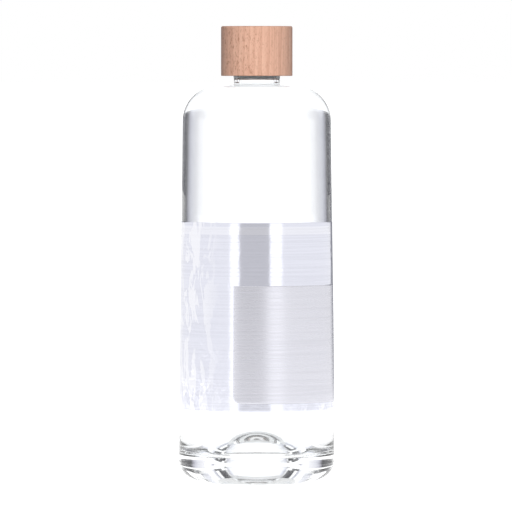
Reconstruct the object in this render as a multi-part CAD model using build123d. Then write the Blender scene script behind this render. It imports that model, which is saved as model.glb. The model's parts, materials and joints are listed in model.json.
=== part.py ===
"""A clear glass water bottle with a wood-covered screw cap and two film labels.

Millimetres, +Z up. The origin is the centre of the ring that the bottle stands on.
The bottle's front, where both labels are, faces -Y.
"""
from build123d import *
import math
import os

# ---- driving dimensions: glass body ----
STAND_INNER_R = 20.7  # flat ring that the bottle stands on
STAND_OUTER_R = 23.2
BODY_FOOT_R = 40.4  # widest, where the heel meets the wall
BODY_TOP_R = 38.5  # the wall leans in by half a degree
HEEL_HEIGHT = 11.6
SHOULDER_START_Z = 187.7
SHOULDER_TOP_Z = 206.4
SHOULDER_INNER_EDGE_R = 19.9

# ---- punt: the dome pressed up into the base ----
PUNT_R = 18.9
PUNT_TOP_Z = 27.0
PUNT_FULLNESS = 0.62  # a plain ellipse would be 0.55
PUNT_LIP_R = STAND_INNER_R - PUNT_R  # small rounding between the dome and the standing ring

# ---- cavity ----
WALL = 2.5
FLOOR_VALLEY_Z = 14.5  # lowest point of the cavity, a ring around the bump
FLOOR_VALLEY_R = 29.0
FLOOR_BUMP_Z = 30.3
FLOOR_CORNER_HEIGHT = 9.0
FLOOR_VALLEY_FLATNESS = 0.60  # the bump leaves the valley level with it as far as this share of its radius
FLOOR_BUMP_FLATNESS = 0.78  # and nears its top level with it from this share of the same radius
BORE_R = 9.3
BORE_FLARE_R = 5.0

# ---- neck and threaded finish ----
NECK_ROOT_R = 16.8
NECK_WAIST_R = 11.8
NECK_WAIST_Z = 208.0
NECK_WAIST_EASE = 3.2  # how far above the waist the neck stays upright before it swells
BEAD_R = 12.6
BEAD_Z = 213.6
FINISH_R = 12.5
FINISH_START_Z = 215.0
RIM_Z = 226.5
RIM_ROUND = 0.8
THREAD_PITCH = 4.23
THREAD_TURNS = 1.5
THREAD_DEPTH = 1.2
THREAD_ROOT_WIDTH = 2.3
THREAD_CREST_WIDTH = 0.9
THREAD_START_Z = 217.2
THREAD_SINK = 0.3  # how far a ridge reaches into the wall that it grows from
THREAD_SEAT = 0.72  # the cap's ridge sits this far above mid-gap, close under the neck's ridge

# ---- cap: wood cover, plastic screw insert, sealing disc ----
COVER_R = 18.5
COVER_BOTTOM_Z = 211.3
COVER_HEIGHT = 25.8
COVER_TOP_ROUND = 0.9
COVER_BOTTOM_ROUND = 0.4
COVER_BORE_R = 15.95
INSERT_RIB_R = 15.9
INSERT_ROOT_R = 15.55
INSERT_RIBS = 48
INSERT_BORE_R = 14.05
INSERT_RIDGE_DEPTH = 1.15
INSERT_RECESS = 0.6  # the insert ends this far above the cover's edge
INSERT_ROOF = 1.5
COVER_ROOF_GAP = 0.1
LINER_R = 13.85
LINER_THICKNESS = 1.0

# ---- labels: film on the leaning wall ----
FILM = 0.10
GLUE_LINE = 0.02
MAIN_LABEL_Z = (38.8, 136.0)
MAIN_LABEL_SWEEP_DEG = 196.0  # centred on the front
OVER_LABEL_Z = (43.0, 103.5)
OVER_LABEL_START_DEG = -17.4  # measured from the front, turning towards +X
OVER_LABEL_SWEEP_DEG = 112.0
FRONT_AZIMUTH_DEG = 270.0


def wall_radius(z):
    """Outer radius of the leaning wall at height z."""
    share = (z - HEEL_HEIGHT) / (SHOULDER_START_Z - HEEL_HEIGHT)
    return BODY_FOOT_R + (BODY_TOP_R - BODY_FOOT_R) * share


def quarter(centre, x_radius, z_radius, start_deg, end_deg):
    """A quarter of an ellipse in the (radius, height) plane, as one cubic curve."""
    reach = 4 * (math.sqrt(2) - 1) / 3  # handle length that bends a cubic into a quarter ellipse
    points = []
    for degrees, along in ((start_deg, reach), (end_deg, -reach)):
        turn = math.radians(degrees)
        end = (centre[0] + x_radius * math.cos(turn), centre[1] + z_radius * math.sin(turn))
        handle_r = end[0] - along * x_radius * math.sin(turn)
        handle_z = end[1] + along * z_radius * math.cos(turn)
        points.append((end, (handle_r, handle_z)))
    (start, start_handle), (finish, finish_handle) = points
    return Bezier(start, start_handle, finish_handle, finish)


def outside_edges():
    """The outer profile, from the punt's top down to the stand and up to the rim."""
    heel_width = BODY_FOOT_R - STAND_OUTER_R
    shoulder_width = BODY_TOP_R - SHOULDER_INNER_EDGE_R
    shoulder_height = SHOULDER_TOP_Z - SHOULDER_START_Z
    return [
        Bezier(
            (0, PUNT_TOP_Z),
            (PUNT_FULLNESS * PUNT_R, PUNT_TOP_Z),
            (PUNT_R, PUNT_LIP_R + PUNT_FULLNESS * (PUNT_TOP_Z - PUNT_LIP_R)),
            (PUNT_R, PUNT_LIP_R),
        ),
        quarter((STAND_INNER_R, PUNT_LIP_R), PUNT_LIP_R, PUNT_LIP_R, 180, 270),
        Line((STAND_INNER_R, 0), (STAND_OUTER_R, 0)),
        quarter((STAND_OUTER_R, HEEL_HEIGHT), heel_width, HEEL_HEIGHT, 270, 360),
        Line((BODY_FOOT_R, HEEL_HEIGHT), (BODY_TOP_R, SHOULDER_START_Z)),
        quarter((SHOULDER_INNER_EDGE_R, SHOULDER_START_Z), shoulder_width, shoulder_height, 0, 90),
        Line((SHOULDER_INNER_EDGE_R, SHOULDER_TOP_Z), (NECK_ROOT_R, SHOULDER_TOP_Z)),
        quarter(
            (NECK_ROOT_R, NECK_WAIST_Z),
            NECK_ROOT_R - NECK_WAIST_R,
            NECK_WAIST_Z - SHOULDER_TOP_Z,
            180,
            270,
        ),
        Bezier(
            (NECK_WAIST_R, NECK_WAIST_Z),
            (NECK_WAIST_R, NECK_WAIST_Z + NECK_WAIST_EASE),
            (BEAD_R, BEAD_Z - 1.2),
            (BEAD_R, BEAD_Z),
        ),
        Bezier(
            (BEAD_R, BEAD_Z),
            (BEAD_R, BEAD_Z + 0.8),
            (FINISH_R, FINISH_START_Z - 0.8),
            (FINISH_R, FINISH_START_Z),
        ),
        Line((FINISH_R, FINISH_START_Z), (FINISH_R, RIM_Z - RIM_ROUND)),
        quarter((FINISH_R - RIM_ROUND, RIM_Z - RIM_ROUND), RIM_ROUND, RIM_ROUND, 0, 90),
        Line((FINISH_R - RIM_ROUND, RIM_Z), (BORE_R + RIM_ROUND, RIM_Z)),
    ]


def inside_edges():
    """The cavity's profile, from the rim down the bore to the bump in the floor."""
    cavity_top_z = SHOULDER_TOP_Z - WALL
    cavity_shoulder_r = BODY_TOP_R - WALL
    corner_z = FLOOR_VALLEY_Z + FLOOR_CORNER_HEIGHT
    corner_r = wall_radius(corner_z) - WALL
    flare_r = BORE_R + BORE_FLARE_R
    return [
        quarter((BORE_R + RIM_ROUND, RIM_Z - RIM_ROUND), RIM_ROUND, RIM_ROUND, 90, 180),
        Line((BORE_R, RIM_Z - RIM_ROUND), (BORE_R, cavity_top_z + BORE_FLARE_R)),
        quarter((flare_r, cavity_top_z + BORE_FLARE_R), BORE_FLARE_R, BORE_FLARE_R, 180, 270),
        Line((flare_r, cavity_top_z), (SHOULDER_INNER_EDGE_R, cavity_top_z)),
        quarter(
            (SHOULDER_INNER_EDGE_R, SHOULDER_START_Z),
            cavity_shoulder_r - SHOULDER_INNER_EDGE_R,
            cavity_top_z - SHOULDER_START_Z,
            0,
            90,
        ),
        Line((cavity_shoulder_r, SHOULDER_START_Z), (corner_r, corner_z)),
        quarter(
            (FLOOR_VALLEY_R, corner_z), corner_r - FLOOR_VALLEY_R, FLOOR_CORNER_HEIGHT, 270, 360
        ),
        Bezier(
            (FLOOR_VALLEY_R, FLOOR_VALLEY_Z),
            (FLOOR_VALLEY_FLATNESS * FLOOR_VALLEY_R, FLOOR_VALLEY_Z),
            (FLOOR_BUMP_FLATNESS * FLOOR_VALLEY_R, FLOOR_BUMP_Z),
            (0, FLOOR_BUMP_Z),
        ),
        Line((0, FLOOR_BUMP_Z), (0, PUNT_TOP_Z)),
    ]


def spin(edges):
    """The solid that a closed chain of (radius, height) edges sweeps around Z."""
    face = Plane.XZ * make_face(edges)
    return revolve(face, Axis.Z)


def thread(root_radius, root_z, outward):
    """A helical ridge with a trapezium section; outward is +1 on a neck, -1 in a bore."""
    turns_height = THREAD_PITCH * THREAD_TURNS
    path = Helix(THREAD_PITCH, turns_height, root_radius, center=(0, 0, root_z))
    depth = THREAD_DEPTH if outward > 0 else INSERT_RIDGE_DEPTH
    section = Polygon(
        (-outward * THREAD_SINK, -THREAD_ROOT_WIDTH / 2),
        (outward * depth, -THREAD_CREST_WIDTH / 2),
        (outward * depth, THREAD_CREST_WIDTH / 2),
        (-outward * THREAD_SINK, THREAD_ROOT_WIDTH / 2),
        align=None,
    )
    start = Plane(origin=(root_radius, 0, root_z), x_dir=(1, 0, 0), z_dir=(0, -1, 0))
    return sweep(start * section, path=path, is_frenet=True)


def make_glass():
    body = spin(outside_edges() + inside_edges())
    return body + thread(FINISH_R, THREAD_START_Z, +1)


def make_cover():
    blank = Pos(0, 0, COVER_BOTTOM_Z) * Cylinder(
        COVER_R, COVER_HEIGHT, align=(Align.CENTER, Align.CENTER, Align.MIN)
    )
    blank = fillet(blank.edges().sort_by(Axis.Z)[-1], COVER_TOP_ROUND)
    blank = fillet(blank.edges().group_by(Axis.Z)[0], COVER_BOTTOM_ROUND)
    bore_depth = insert_top() + COVER_ROOF_GAP - COVER_BOTTOM_Z
    bore = Pos(0, 0, COVER_BOTTOM_Z) * Cylinder(
        COVER_BORE_R, bore_depth, align=(Align.CENTER, Align.CENTER, Align.MIN)
    )
    return blank - bore


def insert_top():
    return RIM_Z + LINER_THICKNESS + INSERT_ROOF


def make_insert():
    """The plastic screw insert: gripping ribs outside, one thread ridge inside."""
    bottom = COVER_BOTTOM_Z + INSERT_RECESS
    step = 360 / INSERT_RIBS
    outline = []
    for rib in range(INSERT_RIBS):
        for radius, angle in ((INSERT_RIB_R, rib * step), (INSERT_ROOT_R, (rib + 0.5) * step)):
            turn = math.radians(angle)
            outline.append((radius * math.cos(turn), radius * math.sin(turn)))
    shell = extrude(Pos(0, 0, bottom) * Polygon(*outline, align=None), insert_top() - bottom)
    bore = Pos(0, 0, bottom) * Cylinder(
        INSERT_BORE_R,
        RIM_Z + LINER_THICKNESS - bottom,
        align=(Align.CENTER, Align.CENTER, Align.MIN),
    )
    ridge = thread(INSERT_BORE_R, THREAD_START_Z - THREAD_PITCH / 2 + THREAD_SEAT, -1)
    return (shell - bore) + ridge


def make_liner():
    return Pos(0, 0, RIM_Z) * Cylinder(
        LINER_R, LINER_THICKNESS, align=(Align.CENTER, Align.CENTER, Align.MIN)
    )


def film(z_range, start_deg, sweep_deg, lift):
    """A film on the leaning wall, lift above the glass, swept about Z from start_deg."""
    low, high = z_range
    section = Polygon(
        (wall_radius(low) + lift, low),
        (wall_radius(low) + lift + FILM, low),
        (wall_radius(high) + lift + FILM, high),
        (wall_radius(high) + lift, high),
        align=None,
    )
    return Rot(0, 0, start_deg) * revolve(Plane.XZ * section, Axis.Z, sweep_deg)


def make_main_label():
    start = FRONT_AZIMUTH_DEG - MAIN_LABEL_SWEEP_DEG / 2
    return film(MAIN_LABEL_Z, start, MAIN_LABEL_SWEEP_DEG, GLUE_LINE)


def make_over_label():
    """It lies over the main label, from just left of the front's middle round to the right side."""
    start = FRONT_AZIMUTH_DEG + OVER_LABEL_START_DEG
    return film(OVER_LABEL_Z, start, OVER_LABEL_SWEEP_DEG, 2 * GLUE_LINE + FILM)


MAKERS = {
    "glass_bottle": make_glass,
    "main_label": make_main_label,
    "over_label": make_over_label,
    "seal_liner": make_liner,
    "screw_insert": make_insert,
    "wood_cap_cover": make_cover,
}

os.makedirs("parts", exist_ok=True)
for node, make in MAKERS.items():
    shape = make()
    export_step(shape, f"parts/{node}.step")
    print(node, "solids", len(shape.solids()), "volume_ml", round(shape.volume / 1000, 2))
cavity = inside_edges()[:-1]
cavity.append(Line((0, FLOOR_BUMP_Z), (0, RIM_Z)))
cavity.append(Line((0, RIM_Z), (BORE_R + RIM_ROUND, RIM_Z)))
print("brimful_ml", round(spin(cavity).volume / 1000, 1))
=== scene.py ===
# %% [markdown]
# # A glass water bottle with a wood-covered screw cap
# The bottle is one moulded glass body: a heel, a domed base, a leaning wall, a round shoulder and a
# short neck with a screw thread. Two film labels lie on its front. The cap is a beech cylinder over
# a plastic screw insert and a soft sealing disc.
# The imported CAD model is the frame: every piece below stands for one of its nodes, in the same place.

# %% Load the frame
import json
import math

import bpy
import numpy as np
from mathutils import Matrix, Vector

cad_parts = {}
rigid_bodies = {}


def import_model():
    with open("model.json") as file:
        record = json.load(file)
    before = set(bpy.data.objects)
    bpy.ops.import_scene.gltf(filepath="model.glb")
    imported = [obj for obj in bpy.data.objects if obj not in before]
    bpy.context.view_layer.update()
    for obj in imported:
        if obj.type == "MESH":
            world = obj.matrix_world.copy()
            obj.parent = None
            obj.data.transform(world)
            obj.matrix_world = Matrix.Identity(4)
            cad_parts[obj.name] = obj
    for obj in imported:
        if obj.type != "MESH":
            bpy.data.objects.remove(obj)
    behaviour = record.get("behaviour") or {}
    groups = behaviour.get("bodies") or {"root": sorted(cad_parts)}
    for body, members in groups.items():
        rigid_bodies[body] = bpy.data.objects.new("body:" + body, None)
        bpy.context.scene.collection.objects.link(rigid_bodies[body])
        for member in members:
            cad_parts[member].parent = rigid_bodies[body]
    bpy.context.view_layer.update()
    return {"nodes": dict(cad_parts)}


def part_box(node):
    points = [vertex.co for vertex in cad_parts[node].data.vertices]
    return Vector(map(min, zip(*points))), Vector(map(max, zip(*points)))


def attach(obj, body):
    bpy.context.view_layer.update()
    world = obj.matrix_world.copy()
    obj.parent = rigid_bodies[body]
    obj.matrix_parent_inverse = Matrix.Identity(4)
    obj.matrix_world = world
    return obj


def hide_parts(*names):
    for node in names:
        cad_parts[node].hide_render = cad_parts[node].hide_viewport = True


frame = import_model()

MM = 0.001
_, glass_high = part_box("glass_bottle")
cover_low, cover_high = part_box("wood_cap_cover")
label_low, label_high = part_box("main_label")
over_low, over_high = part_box("over_label")
insert_low, insert_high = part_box("screw_insert")
liner_low, liner_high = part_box("seal_liner")
for node in frame["nodes"]:
    low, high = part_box(node)
    print(node, [round(1000 * (b - a), 1) for a, b in zip(low, high)], "mm")

# %% [markdown]
# ## The camera
# A long lens far away, about level with the cap, keeps the bottle's sides nearly parallel and the
# label's edges nearly straight. The camera comes first, so that every later look is seen from the
# same angle.

# %% Camera
VIEW_HEIGHT = 0.2656  # metres of the scene that the square frame shows at the bottle
CAMERA_DISTANCE = 3.6
CAMERA_Z = 0.22
AIM = np.array([-0.0004, 0.0, 0.1179])

camera_data = bpy.data.cameras.new("camera")
camera = bpy.data.objects.new("camera", camera_data)
bpy.context.scene.collection.objects.link(camera)
camera.location = (AIM[0], -CAMERA_DISTANCE, CAMERA_Z)
reach = math.hypot(CAMERA_DISTANCE, CAMERA_Z - AIM[2])
camera.rotation_euler = (math.pi / 2 - math.atan2(CAMERA_Z - AIM[2], CAMERA_DISTANCE), 0, 0)
camera_data.sensor_width = 36.0
camera_data.lens = camera_data.sensor_width * reach / VIEW_HEIGHT
camera_data.clip_end = 200.0
bpy.context.scene.camera = camera
print("lens", round(camera_data.lens), "mm at", CAMERA_DISTANCE, "m")

# %% [markdown]
# ## Surfaces from profiles
# Almost everything here is turned or blown, so a piece is a surface of revolution: a profile, given
# as radius and height, carried round the axis. The radius may also change with the angle, which
# gives ribs, thread ridges and wavy glass from one formula. Whole arrays are computed at once.

# %% Profile helpers


def arc(centre, radii, start, end, count):
    """Points on an ellipse's arc: centre plus radii times cosine and sine, from start to end degrees."""
    turn = np.radians(np.linspace(start, end, count))
    return np.stack([centre[0] + radii[0] * np.cos(turn), centre[1] + radii[1] * np.sin(turn)], 1)


def cubic(a, b, c, d, count):
    """Points on a cubic curve: the four points weighted by the Bernstein polynomials of t."""
    t = np.linspace(0, 1, count)[:, None]
    a, b, c, d = (np.array(p, float) for p in (a, b, c, d))
    return (1 - t) ** 3 * a + 3 * t * (1 - t) ** 2 * b + 3 * t**2 * (1 - t) * c + t**3 * d


def straight(a, b, count):
    """Points spaced evenly from a to b."""
    return np.linspace(np.array(a, float), np.array(b, float), count)


def chain(*runs):
    """The runs one after another, with each shared end point kept once."""
    parts = [runs[0]] + [run[1:] for run in runs[1:]]
    return np.concatenate(parts)


# %% Mesh helpers


def mesh_object(name, points, faces, smooth=True):
    """A new object at the origin from an array of points and an array of quad corners."""
    mesh = bpy.data.meshes.new(name)
    mesh.from_pydata(points, [], faces.tolist() if isinstance(faces, np.ndarray) else faces)
    mesh.update()
    mesh.shade_smooth() if smooth else mesh.shade_flat()
    piece = bpy.data.objects.new(name, mesh)
    bpy.context.scene.collection.objects.link(piece)
    return piece


def grid_quads(rows, columns, wrap_rows, wrap_columns):
    """Corner numbers of every cell of a rows by columns grid; a wrapped side joins last to first."""
    i = np.arange(rows if wrap_rows else rows - 1)
    j = np.arange(columns if wrap_columns else columns - 1)
    i, j = np.meshgrid(i, j, indexing="ij")
    i, j = i.ravel(), j.ravel()
    i2, j2 = (i + 1) % rows, (j + 1) % columns
    return np.stack([i * columns + j, i * columns + j2, i2 * columns + j2, i2 * columns + j], 1)


def turned(name, profile, segments, bulge=None):
    """A surface of revolution. Point (i, j) is profile radius i, plus bulge(radius, z, angle), at angle j.

    A profile whose ends lie on the axis gets one pole point there and a fan of triangles; a profile
    that comes back to its start is joined up as a ring.
    """
    profile = np.asarray(profile, float)
    on_axis = [abs(profile[0, 0]) < 1e-9, abs(profile[-1, 0]) < 1e-9]
    ring = np.allclose(profile[0], profile[-1])
    body = profile[:-1] if ring else profile[int(on_axis[0]) : len(profile) - int(on_axis[1])]
    angle = np.arange(segments) * 2 * np.pi / segments
    radius = np.repeat(body[:, :1], segments, 1)
    height = np.repeat(body[:, 1:], segments, 1)
    if bulge is not None:
        radius, height = bulge(radius, height, np.repeat(angle[None], len(body), 0))
    points = np.stack([radius * np.cos(angle), radius * np.sin(angle), height], 2).reshape(-1, 3)
    faces = grid_quads(len(body), segments, ring, True).tolist()
    around = np.arange(segments)
    after = (around + 1) % segments
    if on_axis[0]:
        points = np.vstack([points, [0, 0, profile[0, 1]]])
        pole = np.full(segments, len(points) - 1)
        faces += np.stack([pole, after, around], 1).tolist()
    if on_axis[1]:
        points = np.vstack([points, [0, 0, profile[-1, 1]]])
        pole = np.full(segments, len(points) - 1)
        last = (len(body) - 1) * segments
        faces += np.stack([pole, last + around, last + after], 1).tolist()
    return mesh_object(name, points, faces)


# %% [markdown]
# ## The glass body
# A bottle like this is blown in a mould, and its base is pushed up into a dome that stands it on a
# ring. One closed profile runs up the outside and down the inside, so the wall is real glass with
# two faces, which is what makes its edges dark and its base thick and bright.

# %% Glass sizes
STAND_INNER_R, STAND_OUTER_R = 20.7, 23.2
FOOT_R, TOP_R = 40.4, 38.5
HEEL_HEIGHT = 11.6
SHOULDER_START_Z, SHOULDER_TOP_Z = 187.7, 206.4
SHOULDER_INNER_EDGE_R = 19.9
PUNT_R, PUNT_TOP_Z, PUNT_FULLNESS = 18.9, 27.0, 0.62
PUNT_LIP_R = STAND_INNER_R - PUNT_R
WALL = 2.5
VALLEY_R, VALLEY_Z = 29.0, 14.5
CORNER_HEIGHT = 9.0
BUMP_Z = 30.3
VALLEY_FLATNESS, BUMP_FLATNESS = 0.60, 0.78  # how long the floor stays level at the valley and the bump
BORE_R, BORE_FLARE_R = 9.3, 5.0
NECK_ROOT_R, WAIST_R, WAIST_Z = 16.8, 11.8, 208.0
WAIST_EASE = 3.2  # how far above the waist the neck stays upright before it swells
BEAD_R, BEAD_Z = 12.6, 213.6
FINISH_R, FINISH_START_Z = 12.5, 215.0
RIM_Z = 1000 * glass_high.z
RIM_ROUND = 0.8
THREAD_PITCH, THREAD_TURNS, THREAD_DEPTH = 4.23, 1.5, 1.2
THREAD_START_Z = 217.2


def wall_radius(z):
    """Outer radius of the leaning wall, in millimetres: a straight line from the heel to the shoulder."""
    share = (z - HEEL_HEIGHT) / (SHOULDER_START_Z - HEEL_HEIGHT)
    return FOOT_R + (TOP_R - FOOT_R) * share


# %% Glass profile


def outside_profile():
    """From the dome's top, down to the standing ring, and up the wall to the rim's middle."""
    shoulder = (TOP_R - SHOULDER_INNER_EDGE_R, SHOULDER_TOP_Z - SHOULDER_START_Z)
    dome_side = (PUNT_R, PUNT_LIP_R + PUNT_FULLNESS * (PUNT_TOP_Z - PUNT_LIP_R))
    return chain(
        cubic(
            (0, PUNT_TOP_Z), (PUNT_FULLNESS * PUNT_R, PUNT_TOP_Z), dome_side, (PUNT_R, PUNT_LIP_R), 48
        ),
        arc((STAND_INNER_R, PUNT_LIP_R), (PUNT_LIP_R, PUNT_LIP_R), 180, 270, 10),
        straight((STAND_INNER_R, 0), (STAND_OUTER_R, 0), 7),
        arc((STAND_OUTER_R, HEEL_HEIGHT), (FOOT_R - STAND_OUTER_R, HEEL_HEIGHT), 270, 360, 30),
        straight((FOOT_R, HEEL_HEIGHT), (TOP_R, SHOULDER_START_Z), 24),
        arc((SHOULDER_INNER_EDGE_R, SHOULDER_START_Z), shoulder, 0, 90, 36),
        straight((SHOULDER_INNER_EDGE_R, SHOULDER_TOP_Z), (NECK_ROOT_R, SHOULDER_TOP_Z), 3),
        arc((NECK_ROOT_R, WAIST_Z), (NECK_ROOT_R - WAIST_R, WAIST_Z - SHOULDER_TOP_Z), 270, 180, 12),
        cubic(
            (WAIST_R, WAIST_Z), (WAIST_R, WAIST_Z + WAIST_EASE), (BEAD_R, BEAD_Z - 1.2), (BEAD_R, BEAD_Z), 8
        ),
        cubic(
            (BEAD_R, BEAD_Z), (BEAD_R, BEAD_Z + 0.8), (FINISH_R, FINISH_START_Z - 0.8),
            (FINISH_R, FINISH_START_Z), 5,
        ),
        straight((FINISH_R, FINISH_START_Z), (FINISH_R, RIM_Z - RIM_ROUND), 60),
        arc((FINISH_R - RIM_ROUND, RIM_Z - RIM_ROUND), (RIM_ROUND, RIM_ROUND), 0, 90, 8),
    )


def inside_profile():
    """From the rim's middle, down the bore and the cavity's wall, to the bump in the floor."""
    top_z = SHOULDER_TOP_Z - WALL
    side_r = TOP_R - WALL
    corner_z = VALLEY_Z + CORNER_HEIGHT
    corner_r = wall_radius(corner_z) - WALL
    flare_r = BORE_R + BORE_FLARE_R
    shoulder = (side_r - SHOULDER_INNER_EDGE_R, top_z - SHOULDER_START_Z)
    return chain(
        arc((BORE_R + RIM_ROUND, RIM_Z - RIM_ROUND), (RIM_ROUND, RIM_ROUND), 90, 180, 8),
        straight((BORE_R, RIM_Z - RIM_ROUND), (BORE_R, top_z + BORE_FLARE_R), 6),
        arc((flare_r, top_z + BORE_FLARE_R), (BORE_FLARE_R, BORE_FLARE_R), 180, 270, 12),
        straight((flare_r, top_z), (SHOULDER_INNER_EDGE_R, top_z), 3),
        arc((SHOULDER_INNER_EDGE_R, SHOULDER_START_Z), shoulder, 90, 0, 36),
        straight((side_r, SHOULDER_START_Z), (corner_r, corner_z), 40),
        arc((VALLEY_R, corner_z), (corner_r - VALLEY_R, CORNER_HEIGHT), 360, 270, 20),
        cubic(
            (VALLEY_R, VALLEY_Z), (VALLEY_FLATNESS * VALLEY_R, VALLEY_Z),
            (BUMP_FLATNESS * VALLEY_R, BUMP_Z), (0, BUMP_Z), 56,
        ),
    )


# %% Thread ridge


def thread_ridge(z, angle, radius):
    """How far the screw thread stands out: a bell of z minus the helix's height, faded at both ends."""
    out = np.zeros_like(z)
    on_finish = (radius > FINISH_R - 0.05) & (z > FINISH_START_Z) & (z < RIM_Z - RIM_ROUND)
    for turn in range(2):
        turned_by = angle / (2 * np.pi) + turn
        centre = THREAD_START_Z + THREAD_PITCH * turned_by
        ends = np.clip(turned_by / 0.06, 0, 1) * np.clip((THREAD_TURNS - turned_by) / 0.06, 0, 1)
        shape = np.clip(1.5 - np.abs(z - centre) / 0.78, 0, 1)
        out = np.maximum(out, THREAD_DEPTH * ends * shape * shape * (3 - 2 * shape))
    return out * on_finish


def glass_bulge(radius, z, angle):
    """The thread ridge outside, and slow ripples on the cavity's wall, as blown glass has them."""
    inner = (radius < wall_radius(z) - 0.6 * WALL) & (radius > 0.8 * SHOULDER_INNER_EDGE_R)
    fade = np.clip((z - VALLEY_Z - CORNER_HEIGHT) / 15, 0, 1) * np.clip((SHOULDER_START_Z - z) / 15, 0, 1)
    ripple = 0.05 * np.sin(3 * angle + 0.021 * z) + 0.04 * np.sin(5 * angle - 0.013 * z + 1.3)
    ripple = ripple + 0.03 * np.sin(2 * angle + 0.06 * z + 0.4)
    return radius + thread_ridge(z, angle, radius) + ripple * inner * fade, z


def metres(radius_bulge):
    """The same bulge, for a profile in metres."""

    def bulge(radius, z, angle):
        radius, z = radius_bulge(radius / MM, z / MM, angle)
        return radius * MM, z * MM

    return bulge


GLASS_SEGMENTS = 288
glass_profile = chain(outside_profile(), inside_profile())
glass = turned("glass_body", glass_profile * MM, GLASS_SEGMENTS, metres(glass_bulge))
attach(glass, "bottle")
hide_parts("glass_bottle")
print("glass body:", len(glass.data.polygons), "faces")

# %% [markdown]
# ## The water
# The bottle is drawn full. Water can't be left out, because a full bottle is one thick lens and an
# empty one is only two thin walls. Its surface follows the cavity but reaches a little into the
# glass: where two clear pieces overlap, a renderer works out the step from glass to water rightly,
# while two faces in the same place or a thin air gap would shine like silver.

# %% Water
LEVEL_Z = 205.0  # millimetres, a little below the bottom of the neck
OVERLAP = 0.1


def water_profile():
    """The cavity's profile up to the level, OVERLAP into the glass along its normals, and a flat top."""
    run = inside_profile()[::-1]
    run = run[run[:, 1] <= LEVEL_Z]
    along = np.gradient(run, axis=0)
    along = along / np.linalg.norm(along, axis=1, keepdims=True)
    run = run + OVERLAP * np.stack([along[:, 1], -along[:, 0]], 1)
    run[0, 0] = 0
    return chain(run, straight(run[-1], (0, run[-1, 1]), 20))


water = turned("water", water_profile() * MM, GLASS_SEGMENTS, metres(glass_bulge))
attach(water, "bottle")
print("water:", len(water.data.polygons), "faces")

# %% [markdown]
# ## The two label films
# A label like this is a thin metallised film, wrapped round the front. A second, more matt film lies
# over part of it. Each is a sheet a tenth of a millimetre thick that follows the leaning wall, so it
# is made as a grid on the wall, given a back face, and closed at its edges.

# %% Label films
FILM = 0.10
MAIN_LIFT, OVER_LIFT = 0.02, 0.14
MAIN_SWEEP = 196.0
OVER_START, OVER_SWEEP = -17.4, 112.0
OVER_CORNER = 4.0  # radius of the lower left corner, in millimetres


def film(name, start, sweep, low, high, lift, columns, rows, corner=0.0, crinkle=None):
    """A closed thin sheet on the leaning wall. Column u and row v give the angle and the height.

    The angle is counted from the front, towards +X. A row near the bottom starts later, by
    corner minus the root of corner squared less the distance into the corner squared. The back
    face is the same grid one film thickness nearer the axis. UV is the way round and the height,
    in metres, with the middle of the bottle's front at zero.
    """
    u = np.linspace(0, 1, columns)[None]
    height = low + (high - low) * np.linspace(0, 1, rows)[:, None]
    into = np.clip(corner - (height - low), 0, corner)
    later = np.degrees((corner - np.sqrt(corner**2 - into**2)) / wall_radius(height))
    angle = np.radians(start + later + (sweep - later) * u)
    height = height + 0 * u
    radius = wall_radius(height) + lift
    swell = 0 if crinkle is None else crinkle(angle, height)
    sheets = []
    for r in (radius, radius + FILM + swell):
        sheets.append(np.stack([r * np.sin(angle), -r * np.cos(angle), height], 2).reshape(-1, 3))
    points = np.concatenate(sheets) * MM
    front = grid_quads(rows, columns, False, False) + rows * columns
    back = grid_quads(rows, columns, False, False)[:, ::-1]
    first_row, last_row = np.arange(columns), np.arange(columns) + (rows - 1) * columns
    first_column, last_column = np.arange(rows) * columns, np.arange(rows) * columns + columns - 1
    edge = np.concatenate([first_row, last_column[1:], last_row[-2::-1], first_column[-2:0:-1]])
    after = np.roll(edge, -1)
    rim = np.stack([edge, after, after + rows * columns, edge + rows * columns], 1)
    piece = mesh_object(name, points, np.concatenate([front, back, rim]))
    flat = np.stack([MM * wall_radius(height) * angle, MM * height], 2).reshape(-1, 2)
    flat = np.concatenate([flat, flat])
    corners = np.zeros(len(piece.data.loops), np.int32)
    piece.data.loops.foreach_get("vertex_index", corners)
    layer = piece.data.uv_layers.new(name="film")
    layer.data.foreach_set("uv", flat[corners].astype(np.float32).ravel())
    return piece


def main_crinkle(angle, height):
    """Shallow waves of the main film: three sines of angle and height, almost none in the middle."""
    across = 40 * angle
    waves = 0.35 * np.sin(0.55 * across + 0.9 * np.sin(0.21 * height))
    waves = waves + 0.3 * np.sin(0.37 * height + 0.25 * across) + 0.35 * np.sin(0.9 * across - 0.5 * height)
    flat_middle = np.clip(np.abs(across) / 14, 0.05, 1)
    return 0.012 * (1 + waves * flat_middle)


main_label = film(
    "label_film_main", -MAIN_SWEEP / 2, MAIN_SWEEP, 1000 * label_low.z, 1000 * label_high.z,
    MAIN_LIFT, 300, 220, crinkle=main_crinkle,
)
over_label = film(
    "label_film_over", OVER_START, OVER_SWEEP, 1000 * over_low.z, 1000 * over_high.z,
    OVER_LIFT, 160, 90, corner=OVER_CORNER,
)
for piece, node in ((main_label, "main_label"), (over_label, "over_label")):
    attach(piece, "bottle")
    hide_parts(node)
    print(piece.name, len(piece.data.polygons), "faces")

# %% [markdown]
# ## The beech cover
# The cover is turned from a beech blank, with its grain along the axis, and bored from below to take
# the plastic insert. One profile goes up the bore's roof, down the bore, and up the outside, with
# small rounds where the turner broke the edges.

# %% Cover
COVER_R, COVER_BORE_R = 18.5, 15.95
COVER_LOW, COVER_HIGH = 1000 * cover_low.z, 1000 * cover_high.z
COVER_ROOF_Z = 1000 * insert_high.z + 0.1
TOP_ROUND, BOTTOM_ROUND = 0.9, 0.4

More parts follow.
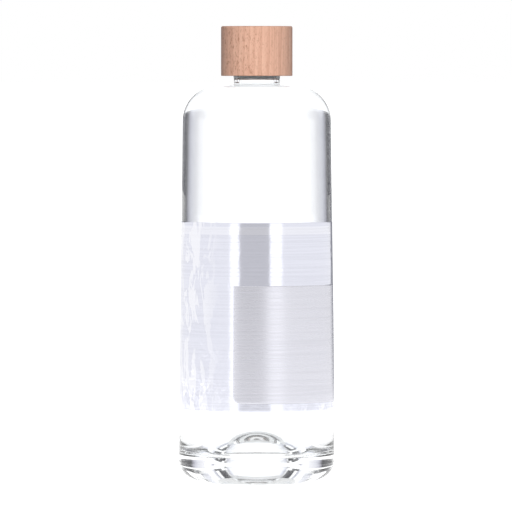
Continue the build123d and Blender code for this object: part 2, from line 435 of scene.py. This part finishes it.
cover_profile = chain(
    straight((0, COVER_ROOF_Z), (COVER_BORE_R, COVER_ROOF_Z), 8),
    straight((COVER_BORE_R, COVER_ROOF_Z), (COVER_BORE_R, COVER_LOW), 12),
    straight((COVER_BORE_R, COVER_LOW), (COVER_R - BOTTOM_ROUND, COVER_LOW), 4),
    arc((COVER_R - BOTTOM_ROUND, COVER_LOW + BOTTOM_ROUND), (BOTTOM_ROUND, BOTTOM_ROUND), 270, 360, 7),
    straight((COVER_R, COVER_LOW + BOTTOM_ROUND), (COVER_R, COVER_HIGH - TOP_ROUND), 50),
    arc((COVER_R - TOP_ROUND, COVER_HIGH - TOP_ROUND), (TOP_ROUND, TOP_ROUND), 0, 90, 10),
    straight((COVER_R - TOP_ROUND, COVER_HIGH), (0, COVER_HIGH), 24),
)
cover = turned("cap_cover_beech", cover_profile * MM, 240)
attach(cover, "cap")
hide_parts("wood_cap_cover")
print("cover:", len(cover.data.polygons), "faces")

# %% [markdown]
# ## The screw insert and the sealing disc
# The insert is moulded in white plastic, with ribs outside that bite into the wood and a thread
# ridge inside. The ribs are a wave of the radius round the axis. The disc is soft foam, cut flat.

# %% Insert and liner
INSERT_RIB_R, INSERT_ROOT_R, RIBS = 15.9, 15.55, 48
INSERT_BORE_R, INSERT_ROOF = 14.05, 1.5
INSERT_LOW, INSERT_HIGH = 1000 * insert_low.z, 1000 * insert_high.z
EDGE = 0.25  # the small round at the edges of the moulding and the disc


def insert_bulge(radius, z, angle):
    """The ribs outside, as a flattened cosine of the angle, and the thread ridge in the bore."""
    outside = radius > INSERT_ROOT_R - EDGE
    rib = 0.5 + 0.5 * np.tanh(2.5 * np.cos(RIBS * angle))
    radius = radius + outside * (INSERT_RIB_R - INSERT_ROOT_R) * rib
    bore = np.abs(radius - INSERT_BORE_R) < 0.05
    ridge = np.zeros_like(z)
    for turn in range(3):
        centre = THREAD_START_Z - 0.5 * THREAD_PITCH + THREAD_PITCH * (angle / (2 * np.pi) + turn)
        ridge = np.maximum(ridge, np.clip(1.4 - np.abs(z - centre) / 0.7, 0, 1))
    ends = np.clip((z - INSERT_LOW - 1.5) / 1.5, 0, 1) * np.clip((INSERT_HIGH - 4.5 - z) / 1.5, 0, 1)
    return radius - 0.9 * bore * ridge * ends, z


roof_z = INSERT_HIGH - INSERT_ROOF
insert_profile = chain(
    straight((0, roof_z), (INSERT_BORE_R, roof_z), 8),
    straight((INSERT_BORE_R, roof_z), (INSERT_BORE_R, INSERT_LOW + EDGE), 70),
    arc((INSERT_BORE_R + EDGE, INSERT_LOW + EDGE), (EDGE, EDGE), 180, 270, 4),
    straight((INSERT_BORE_R + EDGE, INSERT_LOW), (INSERT_ROOT_R - EDGE, INSERT_LOW), 4),
    arc((INSERT_ROOT_R - EDGE, INSERT_LOW + EDGE), (EDGE, EDGE), 270, 360, 5),
    straight((INSERT_ROOT_R, INSERT_LOW + EDGE), (INSERT_ROOT_R, INSERT_HIGH - EDGE), 12),
    arc((INSERT_ROOT_R - EDGE, INSERT_HIGH - EDGE), (EDGE, EDGE), 0, 90, 5),
    straight((INSERT_ROOT_R - EDGE, INSERT_HIGH), (0, INSERT_HIGH), 8),
)
insert = turned("cap_screw_insert", insert_profile * MM, 384, metres(insert_bulge))
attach(insert, "cap")
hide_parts("screw_insert")

LINER_R = 1000 * liner_high.x
liner_bottom, liner_top = 1000 * liner_low.z, 1000 * liner_high.z
liner_profile = chain(
    straight((0, liner_bottom), (LINER_R - EDGE, liner_bottom), 10),
    arc((LINER_R - EDGE, liner_bottom + EDGE), (EDGE, EDGE), 270, 360, 5),
    straight((LINER_R, liner_bottom + EDGE), (LINER_R, liner_top - EDGE), 3),
    arc((LINER_R - EDGE, liner_top - EDGE), (EDGE, EDGE), 0, 90, 5),
    straight((LINER_R - EDGE, liner_top), (0, liner_top), 10),
)
liner = turned("cap_liner_disc", liner_profile * MM, 128)
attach(liner, "liner")
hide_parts("seal_liner")
print("insert", len(insert.data.polygons), "faces; liner", len(liner.data.polygons), "faces")

# %% [markdown]
# ## Materials
# Each finish is a small network of nodes. The helpers below put one node in, with its inputs set or
# linked, so that a material reads like a recipe.

# %% Node helpers


def new_material(name, piece):
    """A material with an empty node tree, put on the piece; returns the tree and its Principled shader."""
    made = bpy.data.materials.new(name)
    made.use_nodes = True
    tree = made.node_tree
    piece.data.materials.clear()
    piece.data.materials.append(made)
    return tree, tree.nodes["Principled BSDF"]


def put(tree, node, inputs):
    """Each named input gets the socket or the constant given for it."""
    for key, value in inputs.items():
        if isinstance(value, bpy.types.NodeSocket):
            tree.links.new(value, node.inputs[key])
        else:
            node.inputs[key].default_value = value


def add(tree, kind, inputs, out=0, **settings):
    """A new node of that kind; returns one of its output sockets."""
    node = tree.nodes.new(kind)
    for key, value in settings.items():
        setattr(node, key, value)
    put(tree, node, inputs)
    return node.outputs[out]


def calc(tree, operation, *values):
    """One Math node on sockets or numbers."""
    return add(tree, "ShaderNodeMath", dict(enumerate(values)), operation=operation)


def rise(tree, value, start, end, low=0.0, high=1.0):
    """A smooth step: low before start, high after end."""
    inputs = {"Value": value, "From Min": start, "From Max": end, "To Min": low, "To Max": high}
    return add(tree, "ShaderNodeMapRange", inputs, interpolation_type="SMOOTHSTEP")


def mix(tree, share, first, second, blend="MIX"):
    """Two colours mixed by share, which runs from 0 to 1."""
    node = tree.nodes.new("ShaderNodeMix")
    node.data_type = "RGBA"
    node.blend_type = blend
    for index, value in ((0, share), (6, first), (7, second)):
        if isinstance(value, bpy.types.NodeSocket):
            tree.links.new(value, node.inputs[index])
        else:
            node.inputs[index].default_value = value
    return node.outputs[2]


def placed(tree, coordinates, scale, turn=(0, 0, 0), shift=(0, 0, 0)):
    """Coordinates stretched, turned and shifted by a Mapping node."""
    inputs = {"Vector": coordinates, "Scale": scale, "Rotation": turn, "Location": shift}
    return add(tree, "ShaderNodeMapping", inputs)


def object_coordinates(tree):
    """The point on the piece, in metres, in the bottle's own frame."""
    return add(tree, "ShaderNodeTexCoord", {}, "Object")


def noise(tree, vector, scale, detail=2.0, roughness=0.5, distortion=0.0):
    """A soft random value round one half."""
    inputs = {"Vector": vector, "Scale": scale, "Detail": detail, "Roughness": roughness}
    return add(tree, "ShaderNodeTexNoise", {**inputs, "Distortion": distortion})


def bump(tree, height, strength, distance):
    """A normal tilted by a height; distance is in metres."""
    return add(tree, "ShaderNodeBump", {"Height": height, "Strength": strength, "Distance": distance})


# %% [markdown]
# ### Clear glass
# Flint glass is nearly colourless. Its look is all in refraction, so the shader is full
# transmission at glass's own index, with a faint orange-peel from the mould in the surface.

# %% Glass finish


def glass_finish(piece):
    """Flint glass: full transmission, with a soft orange-peel bump."""
    tree, shader = new_material("clear_flint_glass", piece)
    where = object_coordinates(tree)
    peel = noise(tree, placed(tree, where, (1, 1, 0.5)), 160, 1)
    put(tree, shader, {
        "Base Color": (0.985, 0.99, 0.995, 1), "Roughness": 0.0, "IOR": 1.5,
        "Transmission Weight": 1.0, "Normal": bump(tree, peel, 0.1, 0.0002),
    })


glass_finish(glass)

# %% [markdown]
# ### Water
# Still water is glass with a lower index and nothing in its surface, so it needs no texture at all.

# %% Water finish


def water_finish(piece):
    """Water: full transmission at its own index."""
    tree, shader = new_material("still_water", piece)
    put(tree, shader, {
        "Base Color": (0.995, 1.0, 1.0, 1), "Roughness": 0.0, "IOR": 1.333, "Transmission Weight": 1.0,
    })


water_finish(water)

# %% [markdown]
# ### Silver film
# A metallised film mirrors the studio: bright where it faces a light, grey where it faces the dark
# camera side. The main film is smooth in the middle, with wrinkles towards its ends, a paler border
# near the top and white patches on the left that are a painted highlight, as of the left strip light
# on the wrinkled film. The over film is finer and more matt. Wrinkles and the lifted edge are bumps,
# because they are far thinner than the film's own grid.

# %% Film finishes
FILM_TINT = (0.80, 0.81, 0.90, 1)
BORDER_Z, BORDER_HALF = label_high.z - 0.0042, 0.0020  # a paler printed border near the top


def film_finish(piece, name, roughness, tint, wrinkle, lean, highlight_and_border_share):
    """A tinted metal. lean tilts the left end, as where a film's edge lifts; the last argument scales the
    painted white highlight on the left and the paler border.
    """
    tree, shader = new_material(name, piece)
    flat = add(tree, "ShaderNodeTexCoord", {}, "UV")
    split = add(tree, "ShaderNodeSeparateXYZ", {"Vector": flat}).node
    across, up = split.outputs["X"], split.outputs["Y"]
    streak = noise(tree, placed(tree, flat, (12, 900, 1)), 1.0, 3)
    folds = noise(tree, placed(tree, flat, (140, 80, 1), (0, 0, 0.6)), 1.0, 2, 0.5, 1.2)
    smooth = rise(tree, calc(tree, "ABSOLUTE", across), 0.012, 0.03, 0.12, 1.0)
    folds = calc(tree, "MULTIPLY", folds, calc(tree, "MULTIPLY", smooth, wrinkle))
    height = calc(tree, "ADD", folds, calc(tree, "MULTIPLY", streak, 0.08))
    tilt = calc(tree, "MULTIPLY", across, rise(tree, across, -0.004, 0.03, lean, 0.0))
    height = calc(tree, "ADD", calc(tree, "MULTIPLY", height, 0.00024), tilt)
    # painted highlight: irregular white patches on the main film's left, standing in for the left strip
    # light caught by its wrinkles
    highlight_blotch = noise(tree, placed(tree, flat, (150, 42, 1), (0, 0, 0.15)), 1.0, 5, 0.62, 0.8)
    left = rise(tree, across, -0.036, -0.016, 1.0, 0.0)
    painted_highlight = calc(tree, "MULTIPLY", rise(tree, highlight_blotch, 0.50, 0.53), calc(tree, "MULTIPLY", left, highlight_and_border_share))
    band = calc(tree, "COMPARE", up, BORDER_Z, BORDER_HALF)
    # the base colour is lightened by the painted highlight patches and by the paler printed border
    painted_highlight_and_border = calc(tree, "MAXIMUM", painted_highlight, calc(tree, "MULTIPLY", band, 0.55 * highlight_and_border_share))
    colour = mix(tree, rise(tree, streak, 0.35, 0.7), tint, tuple(0.93 * c for c in tint[:3]) + (1,))
    colour = mix(tree, calc(tree, "MULTIPLY", painted_highlight_and_border, 0.7), colour, (0.96, 0.96, 1.0, 1))
    put(tree, shader, {
        "Base Color": colour, "Metallic": 1.0,
        "Roughness": rise(tree, streak, 0.3, 0.7, roughness, roughness + 0.08),
        "Normal": bump(tree, height, 1.0, 1.0),
    })


film_finish(main_label, "silver_film_gloss", 0.08, FILM_TINT, 1.0, 0.0, 1.0)
film_finish(over_label, "silver_film_matt", 0.24, (0.70, 0.70, 0.76, 1), 0.25, -0.06, 0.0)

# %% [markdown]
# ### Beech
# Beech is pale and even, with fine growth rings, seen as upright bands on the side, and many short
# dark flecks along the grain. The rings are a wave of the distance from a far heart line, and the
# flecks are a noise stretched along the grain.

# %% Beech finish


def beech_finish(piece):
    """Rings, fibres and flecks mixed over one another; more flecks on the -X side paint that side's shade.
    """
    tree, shader = new_material("beech_oiled", piece)
    where = object_coordinates(tree)
    side = add(tree, "ShaderNodeSeparateXYZ", {"Vector": where}).node.outputs["X"]
    # painted shade: the -X half gets more dark flecks, so that side of the cover reads darker, as where the
    # front light falls off
    fleck_and_shade_side = rise(tree, side, -0.006, 0.006, 1.0, 0.35)
    warped = placed(tree, where, (1, 1, 0.05), (0.02, 0.05, 0.3), (0.06, 0.02, 0))
    wander = noise(tree, placed(tree, where, (40, 40, 5)), 1.0, 2)
    across = add(tree, "ShaderNodeVectorMath", {0: warped}, 1, operation="LENGTH")
    rings = calc(tree, "ADD", calc(tree, "MULTIPLY", across, 300), calc(tree, "MULTIPLY", wander, 5))
    rings = calc(tree, "FRACT", rings)
    rings = calc(tree, "MULTIPLY", rings, rings)
    pores = noise(tree, placed(tree, where, (1300, 1300, 420), (0, 0.35, 0)), 1.0, 3, 0.65, 0.9)
    flecks = calc(tree, "MULTIPLY", rise(tree, pores, 0.50, 0.66), fleck_and_shade_side)
    fibre = noise(tree, placed(tree, where, (900, 900, 45), (0, 0.05, 0)), 1.0, 3)
    light, deep, fleck = (0.86, 0.52, 0.38, 1), (0.70, 0.38, 0.27, 1), (0.40, 0.18, 0.11, 1)
    colour = mix(tree, calc(tree, "MULTIPLY", rings, 0.8), light, deep)
    colour = mix(tree, rise(tree, fibre, 0.35, 0.7, 0, 0.6), colour, deep)
    colour = mix(tree, calc(tree, "MULTIPLY", flecks, 0.75), colour, fleck)
    put(tree, shader, {
        "Base Color": colour, "Roughness": rise(tree, fibre, 0.3, 0.7, 0.42, 0.58),
        "Specular IOR Level": 0.3, "Normal": bump(tree, flecks, 0.35, -0.0001),
    })


beech_finish(cover)

# %% [markdown]
# ### Plastic and foam
# The insert is a satin white moulding with a fine spark-eroded grain. The disc is a closed foam,
# slightly pitted.

# %% Insert and disc finishes


def speckled_finish(piece, name, low, high, scale, roughness, depth):
    """Two near colours mixed by a fine noise, which is also a shallow bump."""
    tree, shader = new_material(name, piece)
    grain = noise(tree, object_coordinates(tree), scale, 3)
    put(tree, shader, {
        "Base Color": mix(tree, rise(tree, grain, 0.35, 0.65), low, high),
        "Roughness": rise(tree, grain, 0.3, 0.7, roughness, roughness + 0.15),
        "Normal": bump(tree, grain, 0.3, depth),
    })


speckled_finish(
    insert, "insert_satin_plastic", (0.78, 0.78, 0.80, 1), (0.84, 0.84, 0.86, 1), 1800, 0.35, 0.00005
)
speckled_finish(liner, "liner_foam", (0.80, 0.80, 0.78, 1), (0.90, 0.90, 0.88, 1), 2600, 0.7, 0.0001)
print("finishes:", len(bpy.data.materials))

# %% [markdown]
# ## The stage
# Clear glass shows only what stands round it. The floor is a light table, evenly white. Round the
# bottle stand rings that the camera never sees itself. The mirrored pair holds the strip lights that
# the film shows, and dark cards that keep the glass's edges from shining. The other pair is only
# seen through the glass, and its dark flags draw the edges and the patches in the thick base. A
# soft light in front models the wood. The rings are set for the front view, so from the side their
# flags show as broad dark bands, and from behind the wood is dim.

# %% Floor
FLOOR_REACH = 60.0


def shown_to(thing, camera=False, diffuse=False, glossy=False, transmission=False, shadow=False):
    """Which rays can see a thing on the stage."""
    thing.visible_camera, thing.visible_diffuse, thing.visible_glossy = camera, diffuse, glossy
    thing.visible_transmission, thing.visible_shadow = transmission, shadow


def glow(tree, colour, strength):
    """Replaces the Principled shader by an even glow."""
    glowing = add(tree, "ShaderNodeEmission", {"Color": colour, "Strength": strength})
    tree.links.new(glowing, tree.nodes["Material Output"].inputs["Surface"])


floor_corners = [(-1, -1, 0), (1, -1, 0), (1, 1, 0), (-1, 1, 0)]
floor_points = FLOOR_REACH * np.array(floor_corners, float)
floor = mesh_object("floor", floor_points, [(0, 1, 2, 3)], smooth=False)
tree, _ = new_material("light_table", floor)
glow(tree, (1, 1, 1, 1), 1.3)
shown_to(floor, camera=True, glossy=True, transmission=True)

# %% Rings of lights and flags
RING_R, RING_TOP = 1.0, 0.7
FLAG_SPLIT, FLAG_TOP = 0.30, 1.25


def ring(name, stops, low, high):
    """An upright ring that glows by its bearing: 0 on the camera side, positive towards +X, 180 behind.

    stops are pairs of bearing and colour, in rising order, joined by straight ramps.
    """
    made = turned(name, straight((RING_R, low), (RING_R, high), 3), 180)
    tree, _ = new_material(name, made)
    split = add(tree, "ShaderNodeSeparateXYZ", {"Vector": object_coordinates(tree)}).node
    depth = calc(tree, "MULTIPLY", split.outputs["Y"], -1)
    bearing = calc(tree, "ARCTAN2", split.outputs["X"], depth)
    share = calc(tree, "ADD", calc(tree, "DIVIDE", bearing, 2 * math.pi), 0.5)
    ramp = add(tree, "ShaderNodeValToRGB", {"Fac": share}).node
    while len(ramp.color_ramp.elements) < len(stops):
        ramp.color_ramp.elements.new(0.5)
    for element, (at, colour) in zip(ramp.color_ramp.elements, stops):
        element.position = at / 360 + 0.5
        element.color = colour
    glow(tree, ramp.outputs["Color"], 1.0)
    return made


def both_sides(stops):
    """The stops of the +X side, and the same ones on the other side."""
    return [(-at, colour) for at, colour in stops[::-1]] + stops


# %% What the films and the glass mirror
GREY, STRIP, WIDE = (0.66, 0.655, 0.66, 1), (1.35, 1.35, 1.35, 1), (1.0, 1.0, 1.0, 1)
SHADE = (0.30, 0.30, 0.33, 1)
LABEL_TOP = label_high.z
left_lights = [(-41, WIDE), (-39, STRIP), (-27, STRIP), (-25, GREY)]
right_lights = [(18.5, GREY), (20.5, STRIP), (37, STRIP), (39, WIDE)]
left_card = [(-172, WIDE), (-164, SHADE), (-144, SHADE), (-136, WIDE)]
right_card = [(136, WIDE), (144, SHADE), (164, SHADE), (172, WIDE)]
dark_edge = [(148, WIDE), (153, SHADE)]  # the narrow dark line down the film's right edge
mirrored_low = ring("ring_mirrored_low", left_lights + right_lights + dark_edge, 0.001, LABEL_TOP)
mirrored_high = ring(
    "ring_mirrored_high", left_card + left_lights + right_lights + right_card, LABEL_TOP, RING_TOP
)
shown_to(mirrored_low, glossy=True)
shown_to(mirrored_high, glossy=True)

# %% What is seen through the glass
CLEAR, FLAG = (1.3, 1.3, 1.3, 1), (0.012, 0.012, 0.02, 1)
DUSK, HAZE, PALE = (0.52, 0.52, 0.60, 1), (0.76, 0.77, 0.84, 1), (0.93, 0.93, 0.97, 1)
flags_low = [
    (36, CLEAR), (44, FLAG), (66, FLAG), (72, CLEAR), (104, CLEAR), (110, FLAG),
    (135.5, FLAG), (140, DUSK), (144, HAZE), (150, PALE), (163, CLEAR),
]
flags_high = [
    (50, CLEAR), (60, FLAG), (118, FLAG), (124, CLEAR),
    (132, CLEAR), (138, DUSK), (146, HAZE), (154, CLEAR),
]
through_low = ring("ring_seen_through_low", both_sides(flags_low), 0.001, FLAG_SPLIT)
through_high = ring("ring_seen_through_high", both_sides(flags_high), FLAG_SPLIT, FLAG_TOP)
shown_to(through_low, transmission=True)
shown_to(through_high, transmission=True)
print("stage:", [thing.name for thing in (floor, mirrored_low, mirrored_high, through_low, through_high)])

# %% [markdown]
# ## World and front light
# The world is white, so the camera sees an even backdrop. Matt surfaces are lit far less by it, so
# that the soft box shapes the wood: bright in the middle and darker towards both sides.

# %% World and front light


def world_light():
    """White to the camera, bright to reflections and refractions, dim to matt surfaces."""
    world = bpy.data.worlds.new("studio")
    world.use_nodes = True
    bpy.context.scene.world = world
    tree = world.node_tree
    path = tree.nodes.new("ShaderNodeLightPath")
    strength = rise(tree, path.outputs["Is Diffuse Ray"], 0, 1, 1.0, 0.11)
    dimmer = calc(tree, "MULTIPLY", path.outputs["Is Transmission Ray"], 0.25)
    strength = calc(tree, "SUBTRACT", strength, dimmer)
    tree.links.new(strength, tree.nodes["Background"].inputs["Strength"])
    tree.nodes["Background"].inputs["Color"].default_value = (1, 1, 1, 1)


def soft_light(name, place, size, power):
    """A square soft box that looks at the cap and label from place."""
    data = bpy.data.lights.new(name, "AREA")
    data.shape, data.size, data.energy = "SQUARE", size, power
    light = bpy.data.objects.new(name, data)
    bpy.context.scene.collection.objects.link(light)
    light.location = place
    aim = AIM - np.array(place)
    light.rotation_euler = (math.acos(-aim[2] / np.linalg.norm(aim)), 0, math.atan2(-aim[0], aim[1]))
    light.visible_glossy = light.visible_transmission = light.visible_camera = False
    return light


world_light()
soft_light("front_box", (0.22, -2.6, 0.9), 0.8, 66)

scene = bpy.context.scene
scene.view_settings.view_transform = "Standard"
scene.view_settings.look = "None"
scene.cycles.max_bounces = 32
scene.cycles.transmission_bounces = 32
scene.cycles.glossy_bounces = 12
scene.cycles.transparent_max_bounces = 24
